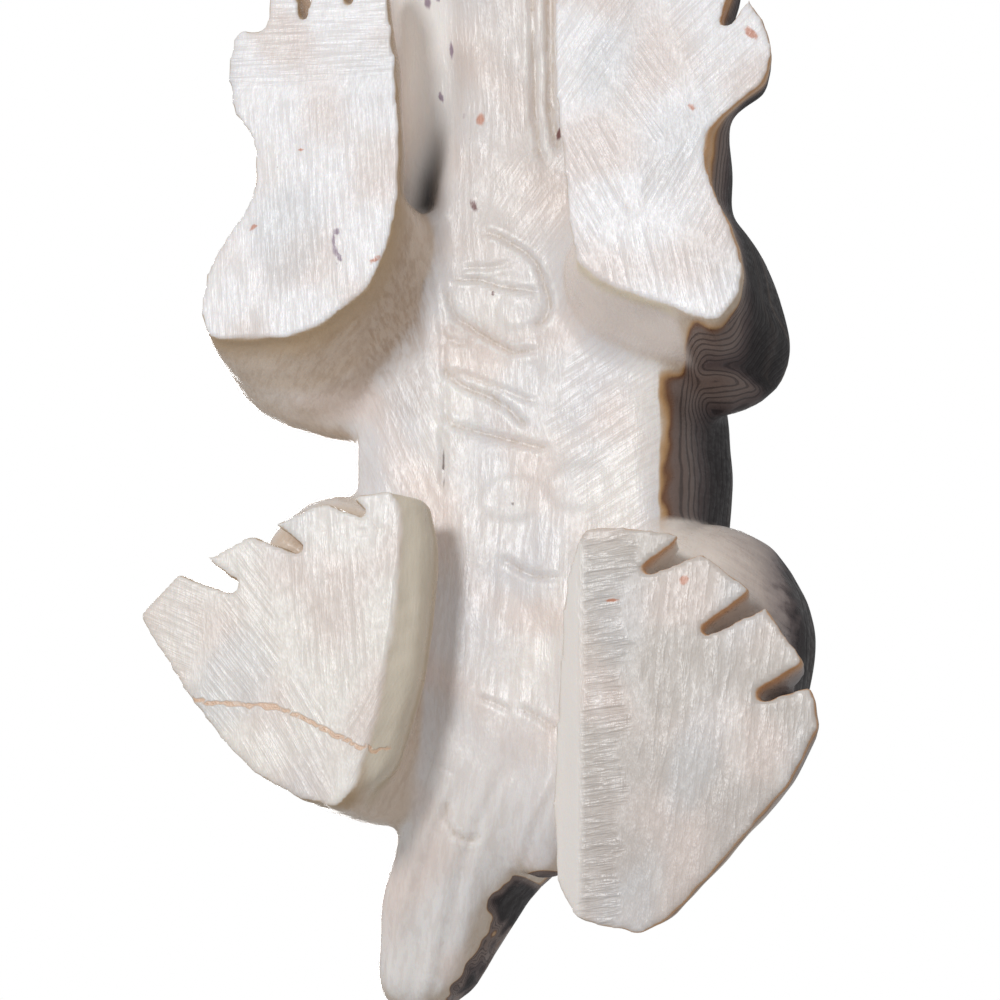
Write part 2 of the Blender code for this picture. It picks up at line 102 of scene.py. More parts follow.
# The belly's raised edge and the step below it, as the points that they run through
BELLY_EDGE = (
    (-5.6, -19.4), (-6.0, -17.9), (-5.6, -14.6), (-5.3, -12.0), (-5.3, -10.7), (-5.1, -6.1), (-5.4, -2.0),
)
BELLY_STEP = ((-5.45, -6.6), (-5.35, -5.0), (-5.3, -3.6), (-5.4, -2.0))

# Scratches and facet edges on the soles: depth, half width, and the points that they run through
SOLE_STROKES = (
    (0.05, 0.13, ((-14.3, 7.0), (-10.2, 3.6))),
    (0.05, 0.13, ((-12.9, 7.0), (-9.8, 4.7))),
    (0.04, 0.12, ((-14.3, 5.3), (-12.4, 4.0))),
    (0.06, 0.16, ((-11.8, 1.6), (-10.8, 1.0), (-8.6, 0.5), (-7.4, 1.4), (-9.4, 1.3))),
    (0.06, 0.18, ((6.3, -20.9), (7.4, -18.8), (8.6, -17.0))),
    (0.05, 0.16, ((8.6, -17.0), (9.4, -19.0), (10.0, -21.1))),
    (0.06, 0.18, ((9.3, -16.7), (9.7, -15.0), (10.2, -13.3))),
    (0.04, 0.16, ((9.3, -16.7), (10.6, -17.6), (11.6, -18.5))),
    (0.05, 0.16, ((5.6, -17.2), (7.0, -15.6), (9.0, -13.6))),
    (0.04, 0.12, ((5.4, -28.0), (8.0, -24.6))),
    (0.04, 0.12, ((7.4, -30.2), (6.6, -26.0))),
    (0.04, 0.12, ((9.6, -29.4), (11.6, -26.2))),
    (0.04, 0.12, ((-16.4, -28.2), (-8.6, -28.6))),
    (0.04, 0.12, ((-16.0, -29.5), (-9.4, -30.0))),
)

# Worn ovals on the belly: middle x and y, half width, half length and height
BELLY_OVALS = (
    (-0.4, -13.6, 1.5, 1.3, 0.09),
    (-4.4, -12.6, 1.0, 0.5, 0.08),
    (-0.8, -1.5, 2.4, 1.5, 0.08),
    (3.4, -2.0, 2.2, 1.6, -0.07),
)

# The hollow between the left hand and the throat, from its deep end up: the points that it runs
# through, its depth, its width at the deep end and how much wider it is at the other
# Its depth share also darkens its colour, as painted shade
HOLLOW = ((-6.7, -21.4), (-6.5, -22.8), (-5.9, -25.2), (-5.2, -27.6), (-4.6, -30.4))
HOLLOW_DEPTH, HOLLOW_WIDTH, HOLLOW_WIDENING = 0.9, 0.75, 0.35

# The long flats down the tail: how high and how wide they are
FLAT_HEIGHT, FLAT_WIDTH = 0.24, 1.9

# The bevel along the right foot's inner edge: the edge's x, the bevel's width and how far it rises
BEVEL_EDGE_X, BEVEL_WIDTH, BEVEL_RISE = 3.3, 1.8, 0.40

# The amber line, where the dark beds start: its height, how much lower it lies on the right flank
# and on the right arm, and its height on the tail
AMBER_LINE, FLANK_DROP, ARM_DROP, TAIL_LINE = 9.0, 3.15, 5.0, 13.0

# Where the dark beds start on the tail: the edge's x at each y, how many beds deep a millimetre
# past it lies, and how deep they get
TAIL_EDGE_Y = (21.3, 22.0, 22.7, 24.2, 25.6, 27.0, 28.3, 34.0)
TAIL_EDGE_X = (-1.8, -2.6, -3.4, -3.7, -4.6, -5.7, -6.9, -13.0)
TAIL_STEEPNESS, TAIL_DEEPEST = 14.0, 6.5

# Zones with a colour of their own, as boxes with soft sides. For x, y and z each says where it
# starts, is full, begins to fade and ends, and BEFORE_ALL and PAST_ALL lie beyond the carving.
BEFORE_ALL, PAST_ALL = (-99.0, -98.0), (98.0, 99.0)
ZONES = {
    "arm": ((2.0, 3.5, 10.4, 11.2), (-18.0, -16.0, -9.0, -8.0), (*BEFORE_ALL, 4.0, 5.5)),
    "arm_rim": ((2.0, 3.5, 10.4, 11.2), (-18.0, -16.0, -9.0, -8.0), (*BEFORE_ALL, 0.5, 1.3)),
    "wall": ((-16.0, -8.0, -7.0, -5.8), (-21.0, -18.0, -8.0, -6.5), (0.4, 1.4, 4.6, 6.0)),
    # The throat's side by the hollow: pale cream stone, lifted further as painted light
    "pale_lit_neck": ((-9.0, -7.5, -5.4, -4.2), (*BEFORE_ALL, -24.0, -20.5), (1.6, 3.0, 7.0, 9.0)),
    "planed": ((2.2, 3.0, 4.7, 5.2), (0.0, 1.0, *PAST_ALL), (*BEFORE_ALL, 0.8, 1.6)),
    "slope": ((-9.5, -8.0, -4.0, -3.0), (-2.0, -1.0, *PAST_ALL), (*BEFORE_ALL, 2.0, 3.2)),
    "ochre": ((*BEFORE_ALL, -3.0, 3.0), (*BEFORE_ALL, *PAST_ALL), (*BEFORE_ALL, 0.3, 2.3)),
    "thigh": ((7.0, 9.5, *PAST_ALL), (*BEFORE_ALL, 19.0, 23.0), (*BEFORE_ALL, *PAST_ALL)),
    "elbow": ((9.5, 11.0, *PAST_ALL), (-14.0, -12.0, -7.5, -6.0), (*BEFORE_ALL, 9.0, 12.0)),
}
ELBOW_BANDS = 1.4


def merged_copy(node):
    """The CAD solid's mesh with its loose triangles joined, as a new object."""
    shape = bmesh.new()
    shape.from_mesh(node.data)
    bmesh.ops.remove_doubles(shape, verts=shape.verts, dist=1e-6)
    mesh = bpy.data.meshes.new("carved_stone")
    shape.to_mesh(mesh)
    shape.free()
    thing = bpy.data.objects.new("carved_stone", mesh)
    bpy.context.scene.collection.objects.link(thing)
    return thing


def settle(thing):
    """Makes what the object's modifiers give its own mesh."""
    graph = bpy.context.evaluated_depsgraph_get()
    graph.update()
    mesh = bpy.data.meshes.new_from_object(thing.evaluated_get(graph))
    thing.modifiers.clear()
    old, thing.data = thing.data, mesh
    bpy.data.meshes.remove(old)
    mesh.name = thing.name


def even_grain(thing):
    """Re-cuts the skin into even squares GRAIN_MM wide."""
    grain = thing.modifiers.new("grain", "REMESH")
    grain.mode = "VOXEL"
    grain.voxel_size = GRAIN_MM * MM
    settle(thing)


def thin_out(thing):
    """Joins triangles down to SKIN_TRIANGLES, first on the back, which has no fine carving."""
    sides = np.empty(len(thing.data.polygons), dtype=np.int32)
    thing.data.polygons.foreach_get("loop_total", sides)
    count = int((sides - 2).sum())
    if count > SKIN_TRIANGLES:
        z, up = read_places(thing.data)[:, 2], read_normals(thing.data)[:, 2]
        back = np.flatnonzero((up > THIN_RISE) & (z > THIN_FROM))
        thing.vertex_groups.new(name="back").add(back.tolist(), 1.0, "REPLACE")
        thin = thing.modifiers.new("thin", "DECIMATE")
        thin.ratio = SKIN_TRIANGLES / count
        thin.vertex_group = "back"
        thin.vertex_group_factor = THIN_FACTOR
        settle(thing)
        thing.vertex_groups.clear()


def read_places(mesh):
    """Each vertex's place on the sheet, in millimetres: row frame times 1000, plus MIDDLE_MM."""
    flat = np.empty(len(mesh.vertices) * 3, dtype=np.float32)
    mesh.vertices.foreach_get("co", flat)
    places = flat.reshape(-1, 3).astype(np.float64) / MM
    places[:, :2] += MIDDLE_MM
    return places


def write_places(mesh, places):
    """The inverse of read_places."""
    moved = places.copy()
    moved[:, :2] -= MIDDLE_MM
    mesh.vertices.foreach_set("co", (moved * MM).astype(np.float32).ravel())
    mesh.update()


def read_normals(mesh):
    """Each vertex's outward unit normal."""
    flat = np.empty(len(mesh.vertices) * 3, dtype=np.float32)
    mesh.vertex_normals.foreach_get("vector", flat)
    return flat.reshape(-1, 3).astype(np.float64)


def read_edges(mesh):
    """The two vertex numbers of each edge."""
    flat = np.empty(len(mesh.edges) * 2, dtype=np.int32)
    mesh.edges.foreach_get("vertices", flat)
    return flat.reshape(-1, 2)


def neighbour_mean(values, edges):
    """The mean of each vertex's neighbours: the sum over its edges' far ends, over their number."""
    total = np.zeros_like(values)
    count = np.bincount(edges.ravel(), minlength=len(values))
    for column in range(values.shape[1]):
        total[:, column] = np.bincount(edges[:, 0], values[edges[:, 1], column], len(values))
        total[:, column] += np.bincount(edges[:, 1], values[edges[:, 0], column], len(values))
    return total / count[:, None]


def rounded(places, edges, share, passes):
    """Moves each vertex by its share of half the way to its neighbours' mean, pass after pass."""
    for _ in range(passes):
        places = places + (neighbour_mean(places, edges) - places) * (share[:, None] * 0.5)
    return places


def rise(value, low, high):
    """0 below low, 1 above high, and the smooth step 3t^2 - 2t^3 between."""
    t = np.clip((value - low) / (high - low), 0, 1)
    return t * t * (3 - 2 * t)


def hump(distance, width):
    """A bell: exp(-(distance / width)^2)."""
    return np.exp(-((distance / width) ** 2))


def ripples(places, size, seed, count=18):
    """An uneven surface of about unit height: sine waves of lengths near size, in seeded directions."""
    rng = np.random.default_rng(seed)
    ways = rng.normal(size=(count, 3))
    ways /= np.linalg.norm(ways, axis=1)[:, None]
    lengths = size * rng.uniform(0.7, 1.6, count)
    turns = places @ (ways / lengths[:, None]).T * math.tau + rng.uniform(0, math.tau, count)
    return np.sin(turns).sum(axis=1) / math.sqrt(count / 2)


def along_path(places, path):
    """For each place, from above: how far it is from the path, and how far along the nearest point
    is, as a share of the path. Each leg's nearest point is the leg's start plus its run times
    t = clip((p - start) . run / |run|^2, 0, 1).
    """
    path = np.asarray(path, dtype=np.float64)
    runs = np.diff(path, axis=0)
    lengths = np.linalg.norm(runs, axis=1)
    starts = np.concatenate([[0], np.cumsum(lengths)])
    nearest = np.full(len(places), np.inf)
    share = np.zeros(len(places))
    for start, run, length, before in zip(path, runs, lengths, starts):
        offset = places[:, :2] - start
        t = np.clip(offset @ run / length**2, 0, 1)
        distance = np.linalg.norm(offset - t[:, None] * run, axis=1)
        closer = distance < nearest
        nearest = np.where(closer, distance, nearest)
        share = np.where(closer, (before + t * length) / starts[-1], share)
    return nearest, share


def stroke_relief(places, strokes):
    """Grooves with raised lips: depth times (0.3 bell(d - 2w) - bell(d)), fading to nothing at each
    end of the stroke.
    """
    relief = np.zeros(len(places))
    for depth, width, path in strokes:
        distance, share = along_path(places, path)
        fade = rise(share, 0.0, 0.10) * (1 - rise(share, 0.90, 1.0))
        lip = 0.3 * hump(distance - 2.0 * width, width * 0.9)
        relief += depth * fade * (lip - hump(distance, width))
    return relief


def hollow_share(places):
    """How deep a place lies in the hollow by the throat: a bell of its distance from HOLLOW, whose
    width grows along it, times a share that falls from 1 to 0.15 over the first three quarters. It
    fades out towards the soles, from 4 mm up to 2.5.
    """
    distance, share = along_path(places, HOLLOW)
    depth = hump(distance, HOLLOW_WIDTH + HOLLOW_WIDENING * share) * (1 - 0.85 * rise(share, 0.0, 0.75))
    return depth * rise(places[:, 2], 2.5, 4.0)


def oval_relief(places, ovals):
    """Flat-topped ovals: height times one minus the smooth step of the distance in radii."""
    relief = np.zeros(len(places))
    for x, y, half_width, half_length, height in ovals:
        radii = np.hypot((places[:, 0] - x) / half_width, (places[:, 1] - y) / half_length)
        relief += height * (1 - rise(radii, 0.7, 1.1))
    return relief


def underside(places, normals):
    """1 on the belly, throat and tail seen from below, 0 on the soles and above."""
    facing = rise(-normals[:, 2], 0.35, 0.8)
    return facing * rise(places[:, 2], 1.5, 3.0) * (1 - rise(places[:, 2], 10.0, 13.0))


def on_soles(places, normals):
    """1 on the four soles, which lie on the ground and face straight down."""
    return (1 - rise(places[:, 2], 0.02, 0.22)) * rise(-normals[:, 2], 0.55, 0.9)


def tail_flats(places):
    """Long flats cut slantwise down the tail. With s = (0.88 x + 0.40 y) / FLAT_WIDTH, bent by two
    small sines, the height is 2 |s mod 1 - 0.5|^0.8 - 0.5.
    """
    x, y = places[:, 0], places[:, 1]
    across = (x * 0.88 + y * 0.40) / FLAT_WIDTH + 0.22 * np.sin(y / 2.6) + 0.15 * np.sin(x * 1.9 + y)
    return 2 * np.abs(across % 1 - 0.5) ** 0.8 - 0.5


def carve(places, normals):
    """How far the tools moved the skin, in millimetres along the normal: ripples of 0.05 and 0.013
    above the soles, 0.03 on their rims and 0.01 on them, plus the strokes, the ovals, the belly's
    edge and the tail's flats, less the step and the hollow.
    """
    x, y, z = places.T
    below = underside(places, normals)
    off_soles = rise(z, 0.3, 1.6)
    soles = on_soles(places, normals)
    relief = off_soles * (0.05 * ripples(places, 4.2, 3) + 0.013 * ripples(places * (1.2, 0.6, 1), 1.5, 5))
    relief += (1 - off_soles) * (1 - soles) * 0.03 * ripples(places, 1.3, 6)
    relief += soles * (0.010 * ripples(places * (1.6, 0.5, 1), 1.6, 8) + stroke_relief(places, SOLE_STROKES))
    relief += below * stroke_relief(places, BELLY_STROKES + THROAT_GROOVES)
    relief += below * oval_relief(places, BELLY_OVALS)
    edge, share = along_path(places, BELLY_EDGE)
    lip = hump(edge - 0.3, 0.28) - 0.8 * hump(edge + 0.1, 0.22)
    relief += below * 0.08 * (1 - rise(share, 0.85, 1.0)) * lip
    step, share = along_path(places, BELLY_STEP)
    relief -= below * 0.20 * hump(step, 0.17) * rise(share, 0.0, 0.2) * (1 - rise(share, 0.7, 1.0))
    relief += below * rise(y, 14.0, 19.0) * FLAT_HEIGHT * tail_flats(places)
    relief -= HOLLOW_DEPTH * hollow_share(places) * rise(-normals[:, 2], -0.2, 0.4)
    return relief


def bevel(places):
    """The right foot's inner edge, planed off: it rises from 0 at BEVEL_WIDTH in to BEVEL_RISE."""
    x, y, z = places.T
    share = 1 - rise(x, BEVEL_EDGE_X, BEVEL_EDGE_X + BEVEL_WIDTH)
    return BEVEL_RISE * share * (x > 1.0) * rise(y, 0.0, 1.5) * (1 - rise(z, 0.0, 1.2))


# Patches of tool marks: middle x, y and z, the marks' turn in degrees, and how many run in a millimetre
MARK_PATCHES = (
    (-13, -35, 0, 86, 4.0), (-13, -20, 0, 4, 3.6),
    (6, -29, 0, -34, 3.4), (9.5, -25, 0, 32, 3.4), (13, -28, 0, -48, 3.6), (6, -20, 0, 26, 3.2),
    (10.5, -20, 0, -30, 3.2), (9, -14, 0, 12, 2.6),
    (-21, 6, 0, 64, 3.2), (-16.5, 9, 0, 38, 2.8), (-10.5, 6, 0, 4, 2.4), (-14, 15, 0, 30, 2.6),
    (11, 12, 0, -7, 1.5),
    (-7, 4, 1.2, -4, 1.8), (-7.5, 14, 1.4, -28, 3.0),
    (-1, -32, 5.2, 1, 2.6), (2, -18, 5.4, -38, 2.4), (-2, -13, 5.4, 3, 2.0),
    (6, -6, 5.4, -60, 2.8), (-8, -6, 5.4, 24, 2.4), (-1, 2, 5.4, -3, 2.0), (-5, 24, 8, -14, 2.0),
    (-13, -10, 3, -48, 2.6), (-8, -14, 4, 10, 3.0), (14, 5, 5, 56, 2.2),
)

# The chatter strip along the right foot's bevel: where it starts and ends in x, where it starts in y,
# its marks' turn in degrees, and how many run in a millimetre
CHATTER_START, CHATTER_END, CHATTER_TOP = 4.85, 8.8, 2.2
CHATTER_TURN, CHATTER_COUNT = -85, 1.5


def tool_marks(places):
    """Coordinates that tool marks run along in each patch, and the patch's number. With the nearest
    patch's turn a and count n: across = n (x cos a - y sin a), along = 0.2 (x sin a + y cos a). The
    chatter strip is one more patch, with straight sides.
    """
    x, y, z = places.T
    nearest = np.full(len(places), np.inf)
    patch = np.zeros(len(places), dtype=np.int32)
    ragged = 1.6 * ripples(places, 3.0, 21)
    for number, (px, py, pz, _, _) in enumerate(MARK_PATCHES):
        distance = (x - px) ** 2 + (0.6 * (y - py)) ** 2 + 4 * (z - pz) ** 2 + ragged * math.cos(number)
        patch = np.where(distance < nearest, number, patch)
        nearest = np.minimum(distance, nearest)
    inner = x + 0.03 * y
    strip = (inner > CHATTER_START) & (inner < CHATTER_END + 0.35 * ripples(places, 2.4, 23))
    strip &= (y > CHATTER_TOP) & (z < 1)
    patch = np.where(strip, len(MARK_PATCHES), patch)
    turn = np.radians([each[3] for each in MARK_PATCHES] + [CHATTER_TURN])[patch]
    count = np.array([each[4] for each in MARK_PATCHES] + [CHATTER_COUNT])[patch]
    across = count * (x * np.cos(turn) - y * np.sin(turn))
    along = 0.2 * (x * np.sin(turn) + y * np.cos(turn))
    return across, along, strip.astype(np.float64), patch


def away_from_seams(patch, edges):
    """How plainly marks show: 0 where two patches meet and one vertex round it, 0.5 in the next ring,
    and 1 beyond.
    """
    calm = np.ones(len(patch))
    calm[edges[patch[edges[:, 0]] != patch[edges[:, 1]]].ravel()] = 0
    for least in (0.0, 0.5):
        near = edges[(calm[edges] == 0).any(axis=1)].ravel()
        calm[near] = np.minimum(calm[near], least)
    return calm


def in_zone(places, name):
    """1 inside that one of the ZONES and 0 outside: over x, y and z, the product of the smooth step
    up from start to full and the one down from fade to end.
    """
    share = np.ones(len(places))
    for values, (start, full, fade, end) in zip(places.T, ZONES[name]):
        share *= rise(values, start, full) * (1 - rise(values, fade, end))
    return share


def bed_height(places):
    """How far a place lies above the amber line, in millimetres: its height less the line's own, with
    steeper beds on the right elbow, 2.6 more on its outside, and ripples of 0.13 and 0.05. On the
    tail it is TAIL_STEEPNESS times the distance to the right of TAIL_EDGE and below its top, where
    that is more, up to TAIL_DEEPEST.
    """
    x, y, z = places.T
    line = AMBER_LINE - FLANK_DROP * rise(x, 7.6, 8.6)
    line -= ARM_DROP * rise(x, 9.6, 12.2) * (1 - rise(y, -8.8, -8.0))
    line += (TAIL_LINE - line) * rise(y, 17.0, 20.0) * (1 - rise(x, 2.0, 4.0))
    height = (z - line) * (1 + 0.8 * (1 - rise(y, -13.0, -11.0)) * rise(x, 9.0, 11.0))
    height += 2.6 * rise(x, 13.6, 15.4) * (1 - rise(y, -8.0, -6.0)) * rise(z, 0.6, 1.6)
    height += 0.13 * ripples(places, 4.5, 11) + 0.05 * ripples(places, 1.1, 12)
    right = (x - np.interp(y, TAIL_EDGE_Y, TAIL_EDGE_X)) * 0.85 + 0.06 * ripples(places, 1.2, 15)
    cut = TAIL_STEEPNESS * np.minimum(right, y - TAIL_EDGE_Y[0])
    on_tail = (x < 3.2) & (z > 5.0)
    return np.where(on_tail, np.maximum(height, np.minimum(cut, TAIL_DEEPEST)), height)


def band_place(places, bed):
    """Where a place lies across the thin bands: its bed, plus ELBOW_BANDS times its distance past
    y = -10 on the right elbow's underside, where the bands run across the carving.
    """
    return bed + ELBOW_BANDS * (places[:, 1] + 10.0) * in_zone(places, "elbow")


def thigh_shade(places):
    """The right thigh's place in its own colours, which darken outwards and upwards: x - 3.7 plus
    0.55 times the height over 4.5, more of both on the outside, and ripples of 0.3 and 0.22.
    """
    x, y, z = places.T
    streaks = 0.22 * ripples(places * (0.9, 1.3, 1), 1.0, 14)
    outer = rise(x, 14.0, 17.5) * (0.5 * (z - 3) + 1.4)
    return x - 3.7 + 0.55 * (z - 4.5) + 1.4 * outer + 0.3 * ripples(places, 5.0, 13) + streaks


def stain_cover(places, stains):
    """The nearest stain's cover: 1 in its middle, 0.5 on its outline, falling with the distance
    measured in its half width and half length.
    """
    cover = np.zeros(len(places))
    ragged = 0.12 * ripples(places, 0.7, 24)
    for px, py, width, length, degrees in stains:
        turn = math.radians(degrees)
        x, y = places[:, 0] - px, places[:, 1] - py
        across = (x * math.cos(turn) - y * math.sin(turn)) * 2 / width
        along = (x * math.sin(turn) + y * math.cos(turn)) * 2 / length
        cover = np.maximum(cover, 1 - 0.5 * (np.hypot(across, along) + ragged))
    return cover


def keep_field(mesh, name, values):
    """Stores one number for each vertex under that name."""
    mesh.attributes.new(name, "FLOAT", "POINT").data.foreach_set("value", values.astype(np.float32))


def keep_marks(mesh, places, normals, sole):
    """Stores what the tools left: strokes and their lips, the marks' directions, and the crack."""
    strokes = stroke_relief(places, BELLY_STROKES + THROAT_GROOVES)
    cuts = -np.minimum(stroke_relief(places, SOLE_STROKES), 0)
    below = underside(places, normals)
    # The strokes' and sole cuts' depth, for the painted shade laid in them
    keep_field(mesh, "groove_shade", below * -np.minimum(strokes, 0) + sole * cuts)
    # The strokes' raised lips, for the painted highlight laid on them
    keep_field(mesh, "lip", below * np.maximum(strokes, 0))
    # The hollow's depth share, for the painted shade in it
    keep_field(mesh, "hollow", hollow_share(places))
    across, along, strip, patch = tool_marks(places)
    calm = away_from_seams(patch, read_edges(mesh))
    keep_field(mesh, "across", across)
    keep_field(mesh, "along", along)
    keep_field(mesh, "calm", calm)
    keep_field(mesh, "strip", strip * sole * calm)
    down = rise(-normals[:, 2], 0.2, 0.6) * (1 - rise(places[:, 2], 8.0, 10.0))
    for name, stains in STAINS.items():
        keep_field(mesh, name, stain_cover(places, stains) * down)
    distance, _ = along_path(places + 0.10 * ripples(places, 0.7, 25)[:, None], CRACK)
    keep_field(mesh, "crack", (1 - distance) * down * (places[:, 2] < CRACK_REACH_MM))


def keep_zones(mesh, places, normals, sole):
    """Stores how far each place is in each zone, and how far it is on the amber rims of the right
    hand and foot.
    """
    x, y, z = places.T
    for name in ("arm", "arm_rim", "wall"):
        keep_field(mesh, name, (1 - sole) * in_zone(places, name))
    keep_field(mesh, "pale_lit_neck", in_zone(places, "pale_lit_neck"))
    keep_field(mesh, "planed", in_zone(places, "planed") * rise(-normals[:, 2], 0.3, 0.7))
    slope = (1 - sole) * in_zone(places, "slope")
    keep_field(mesh, "slope", slope)
    keep_field(mesh, "ochre", (1 - slope) * (1 - sole) * in_zone(places, "ochre"))
    front = rise(y - 0.35 + 0.12 * (z - 6), -0.2, 0.2)
    keep_field(mesh, "on_thigh", front * in_zone(places, "thigh"))
    amber = rise(x, 9.0, 11.5) * (1 - rise(y, -14.0, -12.0)) + rise(x, 4.0, 9.0) * rise(y, -2.0, 0.0)
    keep_field(mesh, "amber", (1 - sole) * (1 - rise(z, 0.15, 1.5)) * np.minimum(amber, 1))


def keep_fields(mesh):
    """Stores all that the colours and the finest marks follow."""
    places, normals = read_places(mesh), read_normals(mesh)
    sole = on_soles(places - (0, 0, 1) * bevel(places)[:, None], normals)
    keep_field(mesh, "sole", sole)
    keep_field(mesh, "below", rise(-normals[:, 2], 0.3, 0.75) * rise(places[:, 2], 3.4, 4.4))
    keep_marks(mesh, places, normals, sole)
    keep_zones(mesh, places, normals, sole)
    bed = bed_height(places)
    keep_field(mesh, "bed", bed)
    keep_field(mesh, "band", band_place(places, bed))
    keep_field(mesh, "thigh", thigh_shade(places))
    keep_field(mesh, "warm", 0.5 + 0.25 * ripples(places, 5.0, 31))
    keep_field(mesh, "cool", 0.5 + 0.25 * ripples(places, 6.5, 32))
    keep_field(mesh, "pale", 0.5 + 0.25 * ripples(places * (1.5, 0.4, 1), 2.6, 33))


def carved_stone(node):
    """The whole carving: the CAD solid's skin in an even grain, rounded off above the soles, with
    the tool's strokes in it and the fields that its colours follow. On the back each pass in is
    followed by one out, so it gets smooth without getting smaller.
    """
    thing = merged_copy(node)
    even_grain(thing)
    mesh = thing.data
    places, edges = read_places(mesh), read_edges(mesh)
    places = rounded(places, edges, np.ones(len(places)), EDGE_PASSES)
    places = rounded(places, edges, rise(places[:, 2], 0.6, 3.4), ROUNDING_PASSES)
    back = rise(places[:, 2] + BACK_TURN * read_normals(mesh)[:, 2], BACK_START, BACK_FULL)
    for _ in range(BACK_PASSES):
        places = rounded(places, edges, back, 1)
        places = rounded(places, edges, -back, 1)
    write_places(mesh, places)
    normals = read_normals(mesh)
    places = places + normals * carve(places, normals)[:, None]
    places[:, 2] = np.maximum(places[:, 2] + bevel(places), 0)
    write_places(mesh, places)
    thin_out(thing)
    keep_fields(thing.data)
    thing.data.shade_smooth()
    return thing


def tone(red, green, blue):
    """A colour given as it looks on a screen, 0 to 255, as the linear light that the nodes take."""
    steps = np.array([red, green, blue]) / 255
    light = np.where(steps <= 0.04045, steps / 12.92, ((steps + 0.055) / 1.055) ** 2.4)
    return (*light.tolist(), 1.0)


class Bench:
    """Adds nodes to one material. A value that is a socket is joined, and any other is set."""

    def __init__(self, tree):
        self.tree = tree

    def add(self, kind, inputs, output=0, **settings):
        node = self.tree.nodes.new(kind)
        for name, value in settings.items():
            setattr(node, name, value)
        for key, value in inputs.items():
            if isinstance(value, bpy.types.NodeSocket):
                self.tree.links.new(value, node.inputs[key])
            else:
                node.inputs[key].default_value = value
        return node.outputs[output]

    def sum(self, a, b):
        return self.add("ShaderNodeMath", {0: a, 1: b}, operation="ADD")

    def times(self, a, b):
        return self.add("ShaderNodeMath", {0: a, 1: b}, operation="MULTIPLY")

    def less(self, a, b):
        return self.add("ShaderNodeMath", {0: a, 1: b}, operation="SUBTRACT")

    def wave(self, a):
        return self.add("ShaderNodeMath", {0: a}, operation="SINE")

    def step(self, value, low, high, to_low=0.0, to_high=1.0):
        """Runs smoothly from to_low at low to to_high at high."""
        return self.add(
            "ShaderNodeMapRange",
            {"Value": value, "From Min": low, "From Max": high, "To Min": to_low, "To Max": to_high},
            interpolation_type="SMOOTHSTEP",
        )

    def field(self, name):
        return self.add("ShaderNodeAttribute", {}, output="Fac", attribute_name=name)

    def move(self, vector, by):
        return self.add("ShaderNodeVectorMath", {0: vector, 1: by}, operation="ADD")

    def stretch(self, vector, by):
        return self.add("ShaderNodeVectorMath", {0: vector, 1: by}, operation="MULTIPLY")

    def cloud(self, vector, scale, detail, roughness):
        """Soft noise from 0 to 1, about 0.5 on average."""
        return self.add(
            "ShaderNodeTexNoise",
            {"Vector": vector, "Scale": scale, "Detail": detail, "Roughness": roughness},
        )

    def blend(self, share, a, b):
        """The colour a where share is 0 and b where it is 1."""
        return self.add("ShaderNodeMix", {0: share, 6: a, 7: b}, output=2, data_type="RGBA")

    def tint(self, colour, cover, strength, tint):
        """Lays a tint over the colour, as strong as cover times strength."""
        return self.blend(self.times(cover, strength), colour, tint)

    def ramp(self, value, stops):
        """Colours at their values, the first and last of which the ramp runs between."""
        low, high = stops[0][0], stops[-1][0]
        socket = self.add("ShaderNodeValToRGB", {0: self.times(self.less(value, low), 1 / (high - low))})
        band = socket.node.color_ramp
        while len(band.elements) < len(stops):
            band.elements.new(0.5)
        for element, (at, colour) in zip(band.elements, stops):
            element.position = (at - low) / (high - low)
            element.color = colour
        return socket


# Colours of the beds above and below the amber line, by height from it in millimetres
BEDS = (
    (-6.0, tone(226, 210, 194)),
    (-2.6, tone(224, 208, 192)),
    (-0.5, tone(218, 200, 180)),
    (-0.10, tone(190, 150, 106)),
    (0.10, tone(120, 84, 60)),
    (0.40, tone(128, 109, 101)),
    (2.0, tone(134, 118, 112)),
    (3.4, tone(92, 78, 77)),
    (5.0, tone(40, 31, 33)),
    (7.4, tone(26, 20, 22)),
    (8.6, tone(50, 40, 38)),
    (9.4, tone(27, 21, 23)),
    (11.2, tone(34, 27, 29)),
    (12.0, tone(86, 72, 63)),
    (12.7, tone(36, 29, 30)),
    (16.0, tone(26, 20, 22)),
)
BAND_WIDTH_MM = 0.75

# Colours of the right thigh, by its shade
THIGH = (
    (6.0, tone(232, 222, 213)),
    (9.6, tone(216, 203, 194)),
    (11.5, tone(196, 182, 174)),
    (13.8, tone(164, 151, 147)),
    (15.4, tone(106, 94, 93)),
    (16.8, tone(48, 39, 41)),
    (19.0, tone(26, 20, 22)),
    (21.0, tone(48, 39, 38)),
    (22.0, tone(27, 21, 23)),
    (24.0, tone(32, 26, 28)),
)

